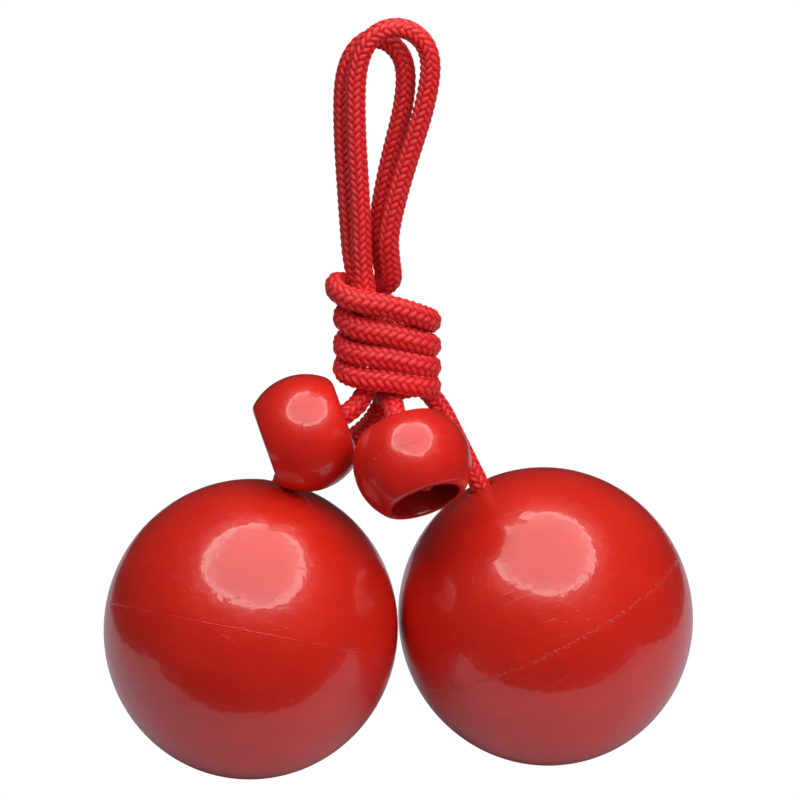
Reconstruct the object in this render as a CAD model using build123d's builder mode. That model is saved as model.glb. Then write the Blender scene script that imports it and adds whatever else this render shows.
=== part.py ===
"""A pair of cord-swung balls, hanked together: two hollow balls, two bored knob beads, braided cord."""

import os
from math import tan

from build123d import *

os.makedirs("parts", exist_ok=True)

# driving dimensions, mm
ball_r = 30.2
wall = 4.0
ball_hole_r = 2.6
lap_width = 2.0
lap_height = 2.0
lap_gap = 0.1
bead_r = 12.0
bead_half_length = 8.6
bead_hole_r = 2.3
bead_pocket_r = 7.4
bead_pocket_floor = 1.0
knot_r = 4.8
knot_height = 4.6
knot_gap = 0.3
cord_r = 2.0
wrap_width = 22.0
wrap_depth = 16.7
wrap_top = -49.5
wrap_bottom = -74.7
wrap_x = -0.6

# where the pieces hang, from the inside top of the hang loops
left_ball = Vector(-28.8, -8.0, -122.7)
left_pole = Vector(0.190, 0.303, 0.934).normalized()
right_ball = Vector(31.4, 0.0, -122.7)
right_pole = Vector(-0.4375, 0.054, 0.898).normalized()
left_bead = Vector(-17.55, -5.6, -81.4)
left_mouth = Vector(-0.942, -0.1035, -0.3186).normalized()
right_bead = Vector(4.1, -17.0, -84.2)
right_mouth = Vector(0.320, -0.598, -0.735).normalized()

# cord routes
knot_face = ball_r - wall - knot_gap - 0.3
loop_front_points = [
    (-6.1, -2.2, -49.5),
    (-6.3, -2.2, -35.8),
    (-7.55, -2.2, -15.4),
    (-7.1, -2.2, -2.9),
    (-2.9, -2.2, 3.1),
    (3.5, -2.2, 3.7),
    (8.2, -2.2, -1.6),
    (7.1, -2.2, -12.1),
    (2.0, -2.2, -28.3),
    (-0.8, -2.2, -40.1),
    (-1.2, -2.2, -49.5),
]
loop_back_points = [
    (-8.0, 2.2, -49.5),
    (-8.8, 2.2, -37.2),
    (-10.0, 2.2, -17.9),
    (-9.6, 2.2, -6.5),
    (-6.1, 2.2, -0.5),
    (-1.2, 2.2, 0.1),
    (2.9, 2.2, -4.6),
    (2.65, 2.2, -13.6),
    (-0.6, 2.2, -26.5),
    (-2.9, 2.2, -39.3),
    (-3.5, 2.2, -49.5),
]
left_ball_points = [
    left_ball + left_pole * knot_face,
    left_ball + left_pole * 32.2,
    (-16.5, 7.8, -91.2),
    (-5.9, 8.2, -86.3),
    (-1.0, 3.5, -77.0),
]
right_ball_points = [
    right_ball + right_pole * knot_face,
    (9.2, 2.8, -77.0),
]
left_bead_points = [
    left_bead + left_mouth * (bead_pocket_floor + knot_gap),
    left_bead - left_mouth * 9.6,
    (-3.2, -2.6, -76.2),
]
right_bead_points = [
    right_bead + right_mouth * (bead_pocket_floor + knot_gap),
    right_bead - right_mouth * 10.0,
    (1.6, -5.0, -77.0),
]


def corner_radii(points):
    """The bend radius at each inner point of a route."""
    spots = [Vector(p) for p in points]
    radii = []
    for a, b, c in zip(spots, spots[1:], spots[2:]):
        turn = (b - a).get_angle(c - b) * 3.14159265 / 180
        run = min((b - a).length, (c - b).length)
        radii.append(round(0.45 * run / tan(turn / 2), 2))
    return radii


def cord(points):
    """A round tube along a route of straight runs and tangent arcs."""
    with BuildPart() as tube:
        with BuildLine() as path:
            if len(points) > 2:
                FilletPolyline(*points, radius=corner_radii(points))
            else:
                Polyline(*points)
        with BuildSketch(Plane(origin=path.line @ 0, z_dir=path.line % 0)):
            Circle(cord_r)
        sweep()
    return tube, path


def profile_plane(centre, axis):
    """The plane of a turned piece's half section: local Y along its axis."""
    side = axis.cross(Vector(0, 1, 0)).normalized()
    return Plane(origin=centre, x_dir=side, z_dir=side.cross(axis))


# balls: two half shells each, lapped at the seam
for side_name, centre, pole in (("left", left_ball, left_pole), ("right", right_ball, right_pole)):
    section = profile_plane(centre, pole)
    spin = Axis(centre, pole)
    with BuildPart() as upper_shell:
        with BuildSketch(section):
            Circle(ball_r)
            Circle(ball_r - wall, mode=Mode.SUBTRACT)
            with Locations((ball_hole_r, 0)):
                Rectangle(40, 40, align=(Align.MIN, Align.MIN), mode=Mode.INTERSECT)
            with Locations((ball_hole_r, 0)):
                tongue_room = ball_r - lap_width - ball_hole_r
                Rectangle(
                    tongue_room,
                    lap_height + lap_gap,
                    align=(Align.MIN, Align.MIN),
                    mode=Mode.SUBTRACT,
                )
        revolve(axis=spin)
    upper_name = f"ball_{side_name}_upper_shell"
    upper_shell.part.label = upper_name
    export_step(upper_shell.part, f"parts/{upper_name}.step")

    with BuildPart() as lower_shell:
        with BuildSketch(section):
            Circle(ball_r)
            Circle(ball_r - wall, mode=Mode.SUBTRACT)
            Rectangle(40, 40, align=(Align.MIN, Align.MAX), mode=Mode.INTERSECT)
            with Locations((ball_r - wall, -1)):
                Rectangle(
                    wall - lap_width - lap_gap,
                    lap_height + 1,
                    align=(Align.MIN, Align.MIN),
                )
        revolve(axis=spin)
    lower_name = f"ball_{side_name}_lower_shell"
    lower_shell.part.label = lower_name
    export_step(lower_shell.part, f"parts/{lower_name}.step")

    with BuildPart() as ball_knot:
        with BuildSketch(Plane(origin=centre + pole * knot_face, z_dir=pole * -1)):
            Circle(knot_r)
        extrude(amount=knot_height)
        fillet(ball_knot.edges(), 1.6)
    knot_name = f"ball_{side_name}_knot"
    ball_knot.part.label = knot_name
    export_step(ball_knot.part, f"parts/{knot_name}.step")

# beads: bored, with a knot pocket at the mouth
for side_name, centre, mouth in (("left", left_bead, left_mouth), ("right", right_bead, right_mouth)):
    section = profile_plane(centre, mouth)
    with BuildPart() as bead:
        with BuildSketch(section):
            Circle(bead_r)
            Rectangle(
                bead_r * 2,
                bead_half_length * 2,
                align=(Align.MIN, Align.CENTER),
                mode=Mode.INTERSECT,
            )
            Rectangle(bead_hole_r, 40, align=(Align.MIN, Align.CENTER), mode=Mode.SUBTRACT)
            with Locations((0, bead_pocket_floor)):
                Rectangle(bead_pocket_r, 20, align=(Align.MIN, Align.MIN), mode=Mode.SUBTRACT)
        revolve(axis=Axis(centre, mouth))
    bead.part.label = f"bead_{side_name}"
    export_step(bead.part, f"parts/bead_{side_name}.step")

    knot_start = centre + mouth * (bead_pocket_floor + knot_gap)
    with BuildPart() as bead_knot:
        with BuildSketch(Plane(origin=knot_start, z_dir=mouth)):
            Circle(knot_r)
        extrude(amount=knot_height)
        fillet(bead_knot.edges(), 1.6)
    bead_knot.part.label = f"bead_{side_name}_knot"
    export_step(bead_knot.part, f"parts/bead_{side_name}_knot.step")

# the wrapped part of the hank: outer shape of the turns and the strands inside them
with BuildPart() as hank_wrap:
    with BuildSketch(Plane.XY.offset(wrap_bottom)):
        with Locations((wrap_x, 0)):
            Ellipse(wrap_width / 2, wrap_depth / 2)
    extrude(amount=wrap_top - wrap_bottom)
    fillet(hank_wrap.edges(), 1.8)
hank_wrap.part.label = "hank_wrap"
export_step(hank_wrap.part, "parts/hank_wrap.step")

# cords
routes = {
    "loop_front": loop_front_points,
    "loop_back": loop_back_points,
    "left_ball_cord": left_ball_points,
    "right_ball_cord": right_ball_points,
    "left_bead_cord": left_bead_points,
    "right_bead_cord": right_bead_points,
}
for name, points in routes.items():
    tube, path = cord(points)
    if name.endswith("ball_cord"):
        with BuildPart() as rounded:
            add(tube.part)
            with Locations(Vector(points[-1])):
                Sphere(cord_r)
        tube = rounded
    length = path.wire().length
    section_area = 3.14159265 * cord_r**2
    print(name, "length", round(length, 1), "bend radii", corner_radii(points))
    print("  volume", round(tube.part.volume, 1), "section x length", round(section_area * length, 1))
    tube.part.label = name
    export_step(tube.part, f"parts/{name}.step")
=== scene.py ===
"""Looks of the pair of cord-swung balls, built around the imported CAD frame."""

from math import cos, floor, pi, radians, sin

import bpy
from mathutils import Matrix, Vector


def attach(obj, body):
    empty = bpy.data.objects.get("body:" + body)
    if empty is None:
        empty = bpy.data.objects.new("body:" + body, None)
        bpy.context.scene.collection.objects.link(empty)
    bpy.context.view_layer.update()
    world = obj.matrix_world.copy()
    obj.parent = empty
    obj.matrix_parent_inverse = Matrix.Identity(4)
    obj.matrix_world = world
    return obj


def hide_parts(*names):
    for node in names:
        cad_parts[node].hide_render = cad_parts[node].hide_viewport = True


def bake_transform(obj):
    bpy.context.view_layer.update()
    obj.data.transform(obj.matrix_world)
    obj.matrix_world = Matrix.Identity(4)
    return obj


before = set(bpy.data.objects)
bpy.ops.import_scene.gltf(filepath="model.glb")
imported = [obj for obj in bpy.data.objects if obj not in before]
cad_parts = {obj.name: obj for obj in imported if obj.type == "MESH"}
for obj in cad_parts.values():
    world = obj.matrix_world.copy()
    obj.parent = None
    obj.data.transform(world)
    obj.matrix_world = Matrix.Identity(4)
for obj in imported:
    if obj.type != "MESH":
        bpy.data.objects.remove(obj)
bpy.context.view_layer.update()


def V(x, y, z):
    return Vector((x, y, z))


# ---------------------------------------------------------------- places and sizes
# Millimetres in the CAD frame, turned into metres by MM where Blender needs them.
MM = 0.001
CORD_R = 2.0

LEFT_BALL = V(-28.8, -8.0, -122.7)
LEFT_POLE = V(0.190, 0.303, 0.934).normalized()
RIGHT_BALL = V(31.4, 0.0, -122.7)
RIGHT_POLE = V(-0.4375, 0.054, 0.898).normalized()
LEFT_BEAD = V(-17.55, -5.6, -81.4)
LEFT_MOUTH = V(-0.942, -0.1035, -0.3186).normalized()
RIGHT_BEAD = V(4.1, -17.0, -84.2)
RIGHT_MOUTH = V(0.320, -0.598, -0.735).normalized()
LEFT_PIVOT = V(-1.0, 3.5, -77.0)
RIGHT_PIVOT = V(9.2, 2.8, -77.0)

# the ball: slightly longer along its pole than across
BALL_EQUATOR_R = 30.0
BALL_POLE_R = 30.7
BALL_SEGMENTS = 256
KNOT_IN_BALL = 22.5
CORD_END_IN_BALL = 25.6

# the bead: a sphere cut flat behind and open in front
BEAD_R = 12
BEAD_POCKET_R = 7.3
BEAD_SEGMENTS = 192
KNOT_IN_BEAD = 3.4
CORD_END_IN_BEAD = 1.5

# the oval that the wrap's turns follow
WRAP_X = -1.0
WRAP_HALF_WIDTH = 9.2
WRAP_HALF_DEPTH = 6.45
WRAP_SQUARENESS = 2 / 2.25
FIRST_TURN_BULGE = 1.7

# ---------------------------------------------------------------- camera
ELEVATION = radians(18)
VIEW_WIDTH_M = 0.1633
DISTANCE_M = 3.0
SENSOR_WIDTH = 36
toward = V(0, -cos(ELEVATION), sin(ELEVATION))
target = V(1.63, 9.0, -79.1) * MM
cam_data = bpy.data.cameras.new("camera")
cam_data.sensor_width = SENSOR_WIDTH
cam_data.lens = SENSOR_WIDTH * DISTANCE_M / VIEW_WIDTH_M
cam_data.clip_start = 0.05
cam_data.clip_end = 20
cam = bpy.data.objects.new("camera", cam_data)
bpy.context.collection.objects.link(cam)
cam.location = target + toward * DISTANCE_M
cam.rotation_euler = (radians(90) - ELEVATION, 0, 0)
bpy.context.scene.camera = cam
bpy.context.scene.view_settings.view_transform = "Standard"


# ---------------------------------------------------------------- node helpers
def new_material(name):
    mat = bpy.data.materials.new(name)
    mat.use_nodes = True
    nt = mat.node_tree
    return mat, nt, nt.nodes["Principled BSDF"]


def node(nt, kind, **inputs):
    n = nt.nodes.new(kind)
    for key, value in inputs.items():
        n.inputs[key.replace("_", " ")].default_value = value
    return n


def math_node(nt, op, a, b=None, clamp=False):
    n = nt.nodes.new("ShaderNodeMath")
    n.operation = op
    n.use_clamp = clamp
    for i, x in enumerate((a, b)):
        if x is None:
            continue
        if isinstance(x, (int, float)):
            n.inputs[i].default_value = x
        else:
            nt.links.new(x, n.inputs[i])
    return n.outputs[0]


def mix_colour(nt, factor, colour, other):
    """The linked colour, turning into the fixed one as factor goes to 1."""
    n = nt.nodes.new("ShaderNodeMix")
    n.data_type = "RGBA"
    nt.links.new(factor, n.inputs["Factor"])
    nt.links.new(colour, n.inputs["A"])
    n.inputs["B"].default_value = (*other, 1)
    return n.outputs["Result"]


def ramp(nt, fac, stops):
    n = nt.nodes.new("ShaderNodeValToRGB")
    elements = n.color_ramp.elements
    while len(elements) < len(stops):
        elements.new(0.5)
    for element, (position, colour) in zip(elements, stops):
        element.position = position
        element.color = (*colour, 1)
    nt.links.new(fac, n.inputs[0])
    return n.outputs[0]


def threshold(nt, fac, low, high):
    """Black below low, white above high."""
    return ramp(nt, fac, [(low, (0, 0, 0)), (high, (1, 1, 1))])


def noise(nt, vec, scale, detail=3, rough=0.5):
    n = node(nt, "ShaderNodeTexNoise", Scale=scale, Detail=detail, Roughness=rough)
    nt.links.new(vec, n.inputs["Vector"])
    return n.outputs["Fac"]


def attribute(nt, name):
    n = nt.nodes.new("ShaderNodeAttribute")
    n.attribute_name = name
    return n


def mapping(nt, vec, scale):
    n = nt.nodes.new("ShaderNodeMapping")
    n.inputs["Scale"].default_value = scale
    nt.links.new(vec, n.inputs["Vector"])
    return n.outputs[0]


def bump(nt, height, strength, distance, normal=None):
    n = node(nt, "ShaderNodeBump", Strength=strength, Distance=distance)
    nt.links.new(height, n.inputs["Height"])
    if normal is not None:
        nt.links.new(normal, n.inputs["Normal"])
    return n.outputs[0]


# ---------------------------------------------------------------- materials
# painted shade: the dark red that stands in for the shade inside a bead's recess
POCKET_PAINTED_SHADE = (0.30, 0.006, 0.006)
WORN_PLASTIC = (0.85, 0.09, 0.06)


def shell_material(name, deep, bright, seam_wear, seam_width, pocket_r=0.0):
    """Gloss moulded plastic.

    The attribute local holds millimetres from the piece's centre, Z along its
    bore. seam_width is in mm too, and pocket_r is the radius within which the
    front of a bead gets painted shade, a dark colour for the shade in its recess.
    """
    mat, nt, bsdf = new_material(name)
    local = attribute(nt, "local").outputs["Vector"]
    sep = nt.nodes.new("ShaderNodeSeparateXYZ")
    nt.links.new(local, sep.inputs[0])
    axial = sep.outputs["Z"]

    # colour that varies slowly, half along the flow of the plastic
    flow = noise(nt, mapping(nt, local, (0.05, 0.05, 0.3)), 1.0, 4)
    mottled = noise(nt, local, 0.09, 3)
    half_flow = math_node(nt, "MULTIPLY", flow, 0.5)
    half_mottled = math_node(nt, "MULTIPLY", mottled, 0.5)
    tone = math_node(nt, "ADD", half_flow, half_mottled)
    base = ramp(nt, tone, [(0.2, deep), (0.8, bright)])
    # painted shade: inside the recess at a bead's front the colour turns dark, standing in for the
    # shade there
    if pocket_r:
        radial = nt.nodes.new("ShaderNodeVectorMath")
        radial.operation = "LENGTH"
        nt.links.new(mapping(nt, local, (1, 1, 0)), radial.inputs[0])
        narrow = math_node(nt, "LESS_THAN", radial.outputs["Value"], pocket_r)
        in_front = math_node(nt, "GREATER_THAN", axial, 0.5)
        pocket = math_node(nt, "MULTIPLY", narrow, in_front)
        base = mix_colour(nt, pocket, base, POCKET_PAINTED_SHADE)

    # the parting line: a wandering band, 1 on the line, chipped pale in places
    waver = math_node(nt, "SUBTRACT", noise(nt, local, 0.5, 4), 0.5)
    wander = math_node(nt, "MULTIPLY", waver, seam_width)
    off = math_node(nt, "ABSOLUTE", math_node(nt, "ADD", axial, wander))
    away = math_node(nt, "DIVIDE", off, seam_width)
    band = math_node(nt, "SUBTRACT", 1.0, away, clamp=True)
    chip_noise = noise(nt, mapping(nt, local, (1, 1, 0.6)), 1.6, 5, 0.7)
    chips = threshold(nt, chip_noise, 0.52, 0.63)
    chipped_band = math_node(nt, "MULTIPLY", band, chips)
    worn = math_node(nt, "MULTIPLY", chipped_band, seam_wear, clamp=True)
    colour = mix_colour(nt, worn, base, WORN_PLASTIC)
    nt.links.new(colour, bsdf.inputs["Base Color"])

    # fine scratches in two directions
    streaks_a = noise(nt, mapping(nt, local, (0.08, 2.4, 1.7)), 1.0, 2)
    streaks_b = noise(nt, mapping(nt, local, (2.1, 0.1, 1.2)), 1.0, 2)
    scratch_a = threshold(nt, streaks_a, 0.66, 0.70)
    scratch_b = threshold(nt, streaks_b, 0.68, 0.72)
    scratches = math_node(nt, "ADD", scratch_a, scratch_b, clamp=True)

    rough = math_node(nt, "ADD", math_node(nt, "MULTIPLY", scratches, 0.07), 0.27)
    rough = math_node(nt, "ADD", rough, math_node(nt, "MULTIPLY", worn, 0.35))
    rough = math_node(nt, "ADD", rough, math_node(nt, "MULTIPLY", mottled, 0.05))
    nt.links.new(rough, bsdf.inputs["Roughness"])
    coat_scratches = math_node(nt, "MULTIPLY", scratches, 0.14)
    coat_rough = math_node(nt, "ADD", coat_scratches, 0.045)
    nt.links.new(coat_rough, bsdf.inputs["Coat Roughness"])

    uneven = bump(nt, noise(nt, local, 0.22, 3), 0.35, 0.0004)
    scratched = bump(nt, scratches, 0.25, 0.0001, uneven)
    chipped = bump(nt, worn, 0.8, 0.00025, scratched)
    nt.links.new(chipped, bsdf.inputs["Normal"])
    nt.links.new(chipped, bsdf.inputs["Coat Normal"])
    bsdf.inputs["Specular IOR Level"].default_value = 0.55
    bsdf.inputs["Coat Weight"].default_value = 0.75
    bsdf.inputs["Subsurface Weight"].default_value = 0.12
    bsdf.inputs["Subsurface Radius"].default_value = (0.006, 0.0012, 0.0008)
    bsdf.inputs["Subsurface Scale"].default_value = 0.6
    return mat


def cord_material(name):
    """Braided cord: weave is the height in the braid and drives painted shade in its valleys and a
    painted highlight on its crowns, lay runs along the fibres.
    """
    mat, nt, bsdf = new_material(name)
    weave = attribute(nt, "weave").outputs["Fac"]
    lay = attribute(nt, "lay").outputs["Vector"]
    fibre = noise(nt, mapping(nt, lay, (7.0, 0.7, 1.0)), 1.5, 3, 0.6)
    soft = noise(nt, lay, 0.16, 3)
    # painted shade and painted highlight: the braid's height darkens the colour in the valleys
    # between strands and lightens it on the strand crowns; fibre and soft noise add the cord's own
    # tone
    weave_painted_light = math_node(nt, "MULTIPLY", weave, 0.78)
    fibre_part = math_node(nt, "MULTIPLY", fibre, 0.22)
    tone_with_painted_light = math_node(nt, "ADD", weave_painted_light, fibre_part)
    drift = math_node(nt, "MULTIPLY", math_node(nt, "SUBTRACT", soft, 0.5), 0.3)
    tone_with_painted_light = math_node(nt, "ADD", tone_with_painted_light, drift)
    # from painted shade (low strands, dark) to painted highlight (high strands, bright)
    colour = ramp(nt, tone_with_painted_light, [
        (0.12, (0.20, 0.001, 0.003)),
        (0.42, (0.74, 0.007, 0.012)),
        (0.80, (1.0, 0.04, 0.045)),
    ])
    nt.links.new(colour, bsdf.inputs["Base Color"])
    bsdf.inputs["Roughness"].default_value = 0.4
    bsdf.inputs["Specular IOR Level"].default_value = 0.6
    bsdf.inputs["Sheen Weight"].default_value = 0.25
    bsdf.inputs["Sheen Roughness"].default_value = 0.4
    bsdf.inputs["Sheen Tint"].default_value = (1, 0.35, 0.35, 1)
    nt.links.new(bump(nt, fibre, 0.55, 0.00018), bsdf.inputs["Normal"])
    return mat


BALL_DEEP, BALL_BRIGHT = (0.60, 0.014, 0.008), (0.74, 0.022, 0.010)
BEAD_DEEP, BEAD_BRIGHT = (0.62, 0.012, 0.009), (0.78, 0.021, 0.012)
BALL_LEFT_MAT = shell_material("ball_left_red", BALL_DEEP, BALL_BRIGHT, 0.2, 0.3)
BALL_RIGHT_MAT = shell_material("ball_right_red", BALL_DEEP, BALL_BRIGHT, 0.5, 0.8)
BEAD_MAT = shell_material(
    "bead_red", BEAD_DEEP, BEAD_BRIGHT, 0.28, 0.2, pocket_r=BEAD_POCKET_R)
CORD_MAT = cord_material("braided_cord")


# ---------------------------------------------------------------- turned pieces
def add_object(name, mesh):
    ob = bpy.data.objects.new(name, mesh)
    bpy.context.collection.objects.link(ob)
    return ob


def turned(name, centre, axis, profile, segments, mat):
    """A surface of revolution: profile is (radius, height) in mm from centre along axis."""
    side = axis.cross(V(0, 1, 0)).normalized()
    other = axis.cross(side).normalized()
    verts, faces, local = [], [], []
    for r, h in profile:
        for i in range(segments):
            a = 2 * pi * i / segments
            local.append((r * cos(a), r * sin(a), h))
            verts.append((centre + axis * h + side * (r * cos(a)) + other * (r * sin(a))) * MM)
    for j in range(len(profile) - 1):
        for i in range(segments):
            k = (i + 1) % segments
            a, b = j * segments, (j + 1) * segments
            faces.append((a + i, a + k, b + k, b + i))
    mesh = bpy.data.meshes.new(name)
    mesh.from_pydata(verts, [], faces)
    attr = mesh.attributes.new("local", "FLOAT_VECTOR", "POINT")
    attr.data.foreach_set("vector", [c for p in local for c in p])
    mesh.polygons.foreach_set("use_smooth", [True] * len(mesh.polygons))
    mesh.materials.append(mat)
    return add_object(name, mesh)


def arc(cx, cy, r, a0, a1, n):
    """n + 1 points on a circle from a0 to a1 degrees."""
    angles = [radians(a0 + (a1 - a0) * i / n) for i in range(n + 1)]
    return [(cx + r * cos(a), cy + r * sin(a)) for a in angles]


def ball_profile(ridge):
    """Outside of a ball from the bottom pole up to the cord hole and into it.

    The seam at the equator stands ridge mm proud, between two faint grooves.
    """
    pts = []
    angles = [-90 + 1.5 * i for i in range(58)]
    angles += [-3 + 0.1 * i for i in range(61)]
    angles += [4.5 + 1.5 * i for i in range(54)]
    for a in angles:
        t = radians(a)
        r = BALL_EQUATOR_R + (BALL_POLE_R - BALL_EQUATOR_R) * sin(t) ** 2
        crest = max(0, 1 - abs(a) / 0.35)
        groove = max(0, 1 - abs(abs(a) - 0.6) / 0.3)
        r += ridge * crest - 0.6 * ridge * groove
        pts.append((max(0.0005, r * cos(t)), r * sin(t)))
    hole_edge = 3.1
    pts = [p for p in pts if not (p[1] > 0 and p[0] < hole_edge)]
    pts += [(2.9, 30.45), (2.65, 30.35), (2.5, 30.1), (2.45, 29.6), (2.4, 26.8)]
    return pts


def bead_profile(ridge):
    """A bead from its bore, round its outside, into the knot pocket and back to the bore."""
    pts = [(2.15, 1.0), (2.15, -7.9), (2.3, -8.3), (2.75, -8.6)]
    pts += [(4.2, -8.6), (6.2, -8.6)]
    pts += arc(7.04, -5.6, 3.0, -90, -40, 10)
    for i in range(81):
        a = -38.5 + 80.5 * i / 80
        t = radians(a)
        r = BEAD_R + ridge * max(0, 1 - abs(a) / 1.0)
        pts.append((r * cos(t), r * sin(t)))
    pts += arc(7.69, 7.0, 1.6, 43.5, 106, 12)
    pts += [(7.16, 8.35), (7.1, 7.8), (7.0, 2.2), (6.4, 1.3), (4, 1.05), (2.15, 1.0)]
    return pts


ball_left = turned("visual_ball_left", LEFT_BALL, LEFT_POLE,
                   ball_profile(0.018), BALL_SEGMENTS, BALL_LEFT_MAT)
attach(ball_left, "left_ball")
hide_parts("ball_left_upper_shell", "ball_left_lower_shell")
ball_right = turned("visual_ball_right", RIGHT_BALL, RIGHT_POLE,
                    ball_profile(0.025), BALL_SEGMENTS, BALL_RIGHT_MAT)
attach(ball_right, "right_ball")
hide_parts("ball_right_upper_shell", "ball_right_lower_shell")
bead_left = turned("visual_bead_left", LEFT_BEAD, LEFT_MOUTH,
                   bead_profile(0.03), BEAD_SEGMENTS, BEAD_MAT)
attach(bead_left, "left_bead")
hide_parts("bead_left")
bead_right = turned("visual_bead_right", RIGHT_BEAD, RIGHT_MOUTH,
                    bead_profile(0.01), BEAD_SEGMENTS, BEAD_MAT)
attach(bead_right, "right_bead")
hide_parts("bead_right")


# ---------------------------------------------------------------- braided cord
CARRIERS = 8         # strands that lean each way round the cord
STITCH = 1.55        # mm along the cord for one stitch
BRAID_PROUD = 0.14   # mm that the highest strands stand outside the cord's radius
PATH_EVERY = 9       # one point in nine of the cord's line goes into its path
WRAP_TALLER = 0.17   # turns pressed in the wrap are taller than wide
WRAP_NARROWER = 0.03


def centreline(name, points, step):
    """Even points in mm along the smooth line that follows the control points."""
    data = bpy.data.curves.new(name + "_route", "CURVE")
    data.dimensions = "3D"
    spline = data.splines.new("NURBS")
    spline.points.add(len(points) - 1)
    for p, q in zip(spline.points, points):
        p.co = (q[0], q[1], q[2], 1)
    spline.order_u = 3
    spline.use_endpoint_u = True
    spline.resolution_u = 24
    ob = add_object(name + "_route", data)
    bpy.context.view_layer.update()
    mesh = bpy.data.meshes.new_from_object(ob)
    raw = [v.co.copy() for v in mesh.vertices]
    bpy.data.objects.remove(ob)
    bpy.data.curves.remove(data)
    bpy.data.meshes.remove(mesh)
    total = [0.0]
    for a, b in zip(raw, raw[1:]):
        total.append(total[-1] + (b - a).length)
    count = max(2, round(total[-1] / step))
    out, j = [], 0
    for i in range(count + 1):
        s = total[-1] * i / count
        while j < len(total) - 2 and total[j + 1] < s:
            j += 1
        f = (s - total[j]) / max(1e-9, total[j + 1] - total[j])
        out.append(raw[j].lerp(raw[j + 1], min(1, max(0, f))))
    return out, total[-1]


def stitch(u, s):
    """Height, 0 to 1, and filament lay of a two-over-two braid of right and left leaning strands."""
    a = u * CARRIERS + s / STITCH
    b = u * CARRIERS - s / STITCH
    ia, ib = floor(a), floor(b)
    fa, fb = a - ia, b - ib
    k = (ia + ib) % 4
    if k < 2:
        across, t, lay = fa, (fb + k) / 2, (a * 1.3, b * 1.3, 0.0)
    else:
        across, t, lay = fb, (fa + k - 2) / 2, (b * 1.3, a * 1.3, 7.0)
    crown = max(0.0, sin(pi * across)) ** 0.55
    h = crown * (0.3 + 0.7 * max(0.0, sin(pi * t)) ** 0.7)
    return h, lay


def braid(name, points, step=0.18, around=80, flatten=None, radius=CORD_R, depth=0.38):
    """A braided tube along the control points: its object, path and length, both in metres."""
    line, length = centreline(name, points, step)
    n = len(line)
    tangents = [(line[min(n - 1, i + 1)] - line[max(0, i - 1)]).normalized()
                for i in range(n)]
    normal = tangents[0].orthogonal().normalized()
    verts, weave, lay = [], [], []
    for i, (p, t) in enumerate(zip(line, tangents)):
        normal = (normal - t * normal.dot(t)).normalized()
        binormal = t.cross(normal)
        s = length * i / (n - 1)
        w = flatten(p) if flatten else 0.0
        for j in range(around):
            u = j / around
            h, along = stitch(u, s)
            r = radius + BRAID_PROUD - depth + depth * h
            off = (normal * cos(2 * pi * u) + binormal * sin(2 * pi * u)) * r
            off.z *= 1 + WRAP_TALLER * w
            off.x *= 1 - WRAP_NARROWER * w
            off.y *= 1 - WRAP_NARROWER * w
            verts.append((p + off) * MM)
            weave.append(h)
            lay.append(along)
    faces = []
    for i in range(n - 1):
        for j in range(around):
            k = (j + 1) % around
            a, b = i * around, (i + 1) * around
            faces.append((a + j, a + k, b + k, b + j))
    faces.append(tuple(reversed(range(around))))
    faces.append(tuple(range((n - 1) * around, n * around)))
    mesh = bpy.data.meshes.new(name)
    mesh.from_pydata(verts, [], faces)
    mesh.attributes.new("weave", "FLOAT", "POINT").data.foreach_set("value", weave)
    lay_data = mesh.attributes.new("lay", "FLOAT_VECTOR", "POINT").data
    lay_data.foreach_set("vector", [c for p in lay for c in p])
    mesh.polygons.foreach_set("use_smooth", [True] * len(mesh.polygons))
    mesh.materials.append(CORD_MAT)
    ob = add_object(name, mesh)
    path = [p * MM for p in line[::PATH_EVERY]]
    if (n - 1) % PATH_EVERY:
        path.append(line[-1] * MM)
    return ob, [tuple(p) for p in path], length * MM


def smooth(a, b, x):
    t = min(1, max(0, (x - a) / (b - a)))
    return t * t * (3 - 2 * t)


def wrap_point(angle, z, out=0.0):
    """A point on the oval that the turns follow; angle 0 is the right end, 90 the back."""
    c, s = cos(radians(angle)), sin(radians(angle))
    x = (WRAP_HALF_WIDTH + out) * (abs(c) ** WRAP_SQUARENESS) * (1 if c >= 0 else -1)
    y = (WRAP_HALF_DEPTH + out) * (abs(s) ** WRAP_SQUARENESS) * (1 if s >= 0 else -1)
    return (WRAP_X + x, y, z)


def turns(stations, step=22.5):
    """Control points round the wrap through (angle, z) stations."""
    out = []
    for (a0, z0), (a1, z1) in zip(stations, stations[1:]):
        count = max(1, round(abs(a1 - a0) / step))
        for i in range(count):
            f = i / count
            a = a0 + (a1 - a0) * f
            z = z0 + (z1 - z0) * f
            # the first turn stands out at its left
            top = max(0.0, cos(radians(a - 190))) * smooth(-57, -52, z)
            out.append(wrap_point(a, z, FIRST_TURN_BULGE * top))
    out.append(wrap_point(*stations[-1]))
    return out


def knot(name, centre, axis, size, body, replaced):
    """A small trefoil knot of thin braid, its axis along the cord."""
    side = axis.cross(V(0, 1, 0)).normalized()
    other = axis.cross(side)
    pts = []
    for i in range(31):
        t = 2 * pi * i / 30
        x = sin(t) + 2 * sin(2 * t)
        y = cos(t) - 2 * cos(2 * t)
        z = -sin(3 * t)
        pts.append(tuple(centre + side * (x * size) + other * (y * size)
                         + axis * (z * size * 0.95)))
    ob, _, _ = braid(name, pts, step=0.3, around=48, radius=1.6, depth=0.3)
    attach(ob, body)
    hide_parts(replaced)
    return ob


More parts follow.
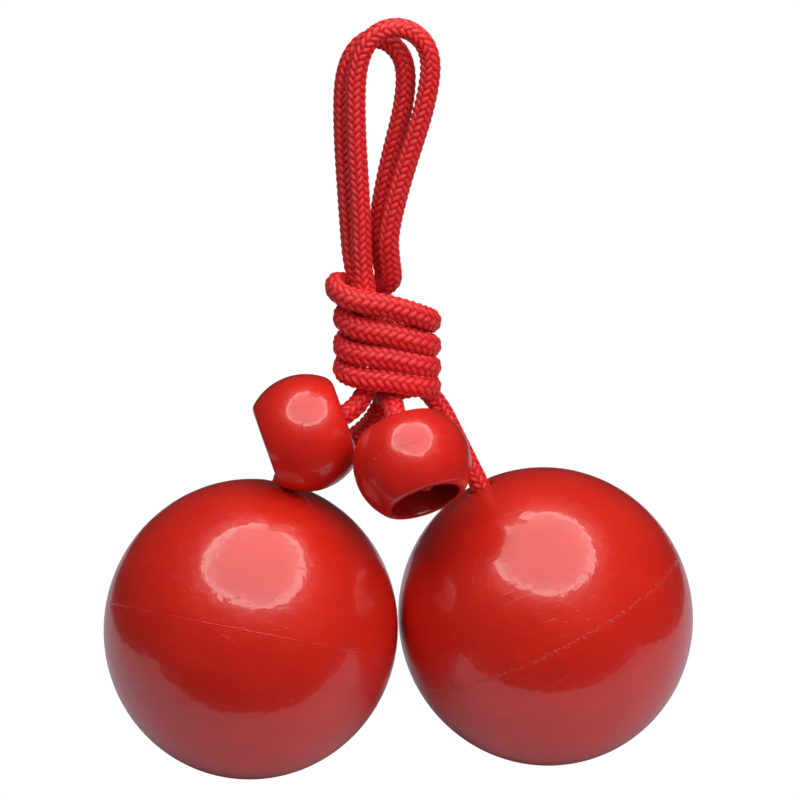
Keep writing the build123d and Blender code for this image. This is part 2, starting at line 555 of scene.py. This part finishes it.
knot_bead_left = knot("knot_bead_left", LEFT_BEAD + LEFT_MOUTH * KNOT_IN_BEAD,
                      LEFT_MOUTH, 0.95, "hank", "bead_left_knot")
knot_bead_right = knot("knot_bead_right", RIGHT_BEAD + RIGHT_MOUTH * KNOT_IN_BEAD,
                       RIGHT_MOUTH, 0.95, "hank", "bead_right_knot")
knot_ball_left = knot("knot_ball_left", LEFT_BALL + LEFT_POLE * KNOT_IN_BALL,
                      LEFT_POLE, 1.15, "left_tail", "ball_left_knot")
knot_ball_right = knot("knot_ball_right", RIGHT_BALL + RIGHT_POLE * KNOT_IN_BALL,
                       RIGHT_POLE, 1.15, "right_tail", "ball_right_knot")


# ---------------------------------------------------------------- the four cords
left_entry = LEFT_BEAD - LEFT_MOUTH * 9.6
right_entry = RIGHT_BEAD - RIGHT_MOUTH * 10.0

# each main cord: inside the wrap, up one leg of its loop, down the other,
# round the wrap, and out to its bead
front_cord_points = [
    (-3.0, -2.2, -66),
    (-4.6, -2.2, -56),
    (-6.1, -2.2, -48.0),
    (-6.3, -2.2, -35.8),
    (-7.55, -2.2, -15.4),
    (-7.1, -2.2, -2.9),
    (-2.9, -2.2, 3.1),
    (3.5, -2.2, 3.7),
    (8.2, -2.2, -1.6),
    (7.1, -2.2, -12.1),
    (2.0, -2.2, -28.3),
    (-0.8, -2.2, -40.1),
    (-0.4, -1.2, -45.8),
    (0.2, 1.0, -51.2),
    (-2.0, 4.7, -53.4),
    *turns([
        (125, -53.4), (180, -51.5), (270, -53.9), (360, -59.4), (450, -62.2),
        (540, -64.4), (630, -65.0), (720, -69.1), (787, -71.2),
    ]),
    (0.1, 5.6, -71.6),
    (-2.2, 3.5, -71.6),
    (-4.4, -0.7, -72.5),
    tuple(left_entry),
    tuple(LEFT_BEAD + LEFT_MOUTH * CORD_END_IN_BEAD),
]
back_cord_points = [
    (-2.8, 2.2, -66),
    (-5.6, 2.2, -56),
    (-8.0, 2.2, -48.0),
    (-8.8, 2.2, -37.2),
    (-10.0, 2.2, -17.9),
    (-9.6, 2.2, -6.5),
    (-6.1, 2.2, -0.5),
    (-1.2, 2.2, 0.1),
    (2.9, 2.2, -4.6),
    (2.65, 2.2, -13.6),
    (-0.6, 2.2, -26.5),
    (-2.9, 2.2, -39.3),
    (-2.4, 2.4, -45.6),
    (-1.1, 4.9, -52.6),
    (-3.0, 5.9, -56.7),
    *turns([
        (124.7, -58.3), (180, -58.3), (270, -60.0), (360, -64.6), (450, -67.3),
        (540, -69.3), (630, -69.9), (720, -73.2), (770.4, -74.6),
    ]),
    (1.1, 5.8, -75.8),
    (-1.9, 2.1, -76.5),
    (0.2, -3.3, -75.0),
    tuple(right_entry),
    tuple(RIGHT_BEAD + RIGHT_MOUTH * CORD_END_IN_BEAD),
]


def in_wrap(p):
    """1 where a point is in one of the wrap's turns, 0 in the core and outside."""
    d = ((p[0] - WRAP_X) / 8.9) ** 2 + (p[1] / 6.4) ** 2
    above_bottom = smooth(-76.5, -74.5, p[2])
    below_top = 1 - smooth(-51, -48.5, p[2])
    return smooth(0.5, 0.9, d) * above_bottom * below_top


# the cords run from their beads inwards
front_cord, path, length = braid(
    "cord_front_loop", list(reversed(front_cord_points)), flatten=in_wrap)
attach(front_cord, "hank")
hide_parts("loop_front", "left_bead_cord", "hank_wrap")
back_cord, path, length = braid(
    "cord_back_loop", list(reversed(back_cord_points)), flatten=in_wrap)
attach(back_cord, "hank")
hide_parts("loop_back", "right_bead_cord")

# the balls' cords bend between the hank and the part that swings
LEFT_TAIL_BEND = V(-5.9, 8.2, -86.3)
left_tail, path, length = braid("cord_left_tail", [
    tuple(LEFT_BALL + LEFT_POLE * CORD_END_IN_BALL),
    tuple(LEFT_BALL + LEFT_POLE * 32.2),
    (-16.5, 7.8, -91.2),
    tuple(LEFT_TAIL_BEND),
    tuple(LEFT_PIVOT),
    (1.6, 2.2, -66),
])
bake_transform(left_tail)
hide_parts("left_ball_cord")
right_tail, path, length = braid("cord_right_tail", [
    tuple(RIGHT_BALL + RIGHT_POLE * CORD_END_IN_BALL),
    tuple(RIGHT_BALL + RIGHT_POLE * 40),
    tuple(RIGHT_PIVOT),
    (4.2, 1.0, -72),
    (2.6, -2.2, -66),
])
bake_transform(right_tail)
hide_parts("right_ball_cord")


# ---------------------------------------------------------------- stage and light
BACKDROP_R = 5
BACKDROP_ROWS = 12
BACKDROP_SIDES = 24
SOFTBOX_SIDES = 14
SOFTBOX_RINGS = (0.02, 0.6, 0.8, 0.87, 1.0)
SOFTBOX_GLOW = (0.68, 0.7, 0.85, 1.75, 1.85)


def band_faces(rings, sides):
    """Quads between neighbouring rings of points."""
    faces = []
    for j in range(rings - 1):
        for i in range(sides):
            k = (i + 1) % sides
            a, b = j * sides, (j + 1) * sides
            faces.append((a + i, a + k, b + k, b + i))
    return faces


def stage_piece(name, verts, faces):
    """A stage mesh with its own material: its object, node tree and shader."""
    mesh = bpy.data.meshes.new(name)
    mesh.from_pydata(verts, [], faces)
    mat, nt, bsdf = new_material(name)
    mesh.materials.append(mat)
    ob = add_object(name, mesh)
    return ob, nt, bsdf


def backdrop():
    """A white dome that only the camera sees."""
    verts = []
    for i in range(BACKDROP_ROWS + 1):
        p = radians(-89.9 + 179.8 * i / BACKDROP_ROWS)
        for j in range(BACKDROP_SIDES):
            t = 2 * pi * j / BACKDROP_SIDES
            verts.append(V(cos(t) * cos(p), sin(t) * cos(p), sin(p)) * BACKDROP_R)
    faces = band_faces(BACKDROP_ROWS + 1, BACKDROP_SIDES)
    ob, _, bsdf = stage_piece("backdrop", verts, faces)
    bsdf.inputs["Base Color"].default_value = (0, 0, 0, 1)
    bsdf.inputs["Specular IOR Level"].default_value = 0
    bsdf.inputs["Emission Color"].default_value = (1, 1, 1, 1)
    bsdf.inputs["Emission Strength"].default_value = 1.0
    ob.visible_glossy = False
    ob.visible_diffuse = False
    ob.visible_transmission = False
    ob.visible_volume_scatter = False
    ob.visible_shadow = False


def board():
    """The pale board under the balls, which shows only as light and in reflections."""
    half_x, half_y = V(0.18, 0, 0), V(0, 0.2, 0)
    centre = V(0, 0.1425, -0.1545)
    corners = [centre - half_x - half_y, centre + half_x - half_y,
               centre + half_x + half_y, centre - half_x + half_y]
    ob, _, bsdf = stage_piece("board", corners, [(0, 1, 2, 3)])
    bsdf.inputs["Base Color"].default_value = (0.5, 0.49, 0.56, 1)
    bsdf.inputs["Roughness"].default_value = 0.9
    bsdf.inputs["Emission Color"].default_value = (1, 1, 1, 1)
    bsdf.inputs["Emission Strength"].default_value = 0.02
    ob.visible_camera = False


def softbox(direction, distance, radius, strength):
    """A many-sided softbox, brighter near its edge."""
    d = direction.normalized()
    x = d.cross(V(0, 1, 0)).normalized()
    y = d.cross(x)
    centre = V(0, 0, -0.11) + d * distance
    verts = []
    for k in SOFTBOX_RINGS:
        for i in range(SOFTBOX_SIDES):
            a = 2 * pi * (i + 0.3) / SOFTBOX_SIDES
            q = radius * k * (1 + 0.035 * sin(3 * a + 1) + 0.02 * sin(5 * a))
            verts.append(centre + x * cos(a) * q + y * sin(a) * q)
    faces = band_faces(len(SOFTBOX_RINGS), SOFTBOX_SIDES)
    faces.append(tuple(range(SOFTBOX_SIDES)))
    ob, nt, bsdf = stage_piece("softbox", verts, faces)
    glow = [g for g in SOFTBOX_GLOW for _ in range(SOFTBOX_SIDES)]
    ob.data.attributes.new("glow", "FLOAT", "POINT").data.foreach_set("value", glow)
    bsdf.inputs["Base Color"].default_value = (0, 0, 0, 1)
    bsdf.inputs["Emission Color"].default_value = (1, 0.97, 0.95, 1)
    level = math_node(nt, "MULTIPLY", attribute(nt, "glow").outputs["Fac"], strength)
    nt.links.new(level, bsdf.inputs["Emission Strength"])
    ob.visible_camera = False


backdrop()
board()

world = bpy.data.worlds.new("world")
bpy.context.scene.world = world
world.use_nodes = True
background = world.node_tree.nodes["Background"]
background.inputs[0].default_value = (1, 1, 1, 1)
background.inputs[1].default_value = 0.03

SOFTBOX_HEIGHT = radians(69)
softbox(V(0.03, -cos(SOFTBOX_HEIGHT), sin(SOFTBOX_HEIGHT)),
        distance=0.8, radius=0.6, strength=2.95)

fill_data = bpy.data.lights.new("fill", "AREA")
fill_data.shape = "DISK"
fill_data.size = 0.8
fill_data.energy = 4.4
fill = add_object("fill", fill_data)
fill_from = V(0.62, -0.74, 0.30).normalized()
fill.location = V(0, 0, -0.09) + fill_from * 1.1
fill.rotation_euler = fill_from.to_track_quat("Z", "Y").to_euler()
fill.visible_glossy = False
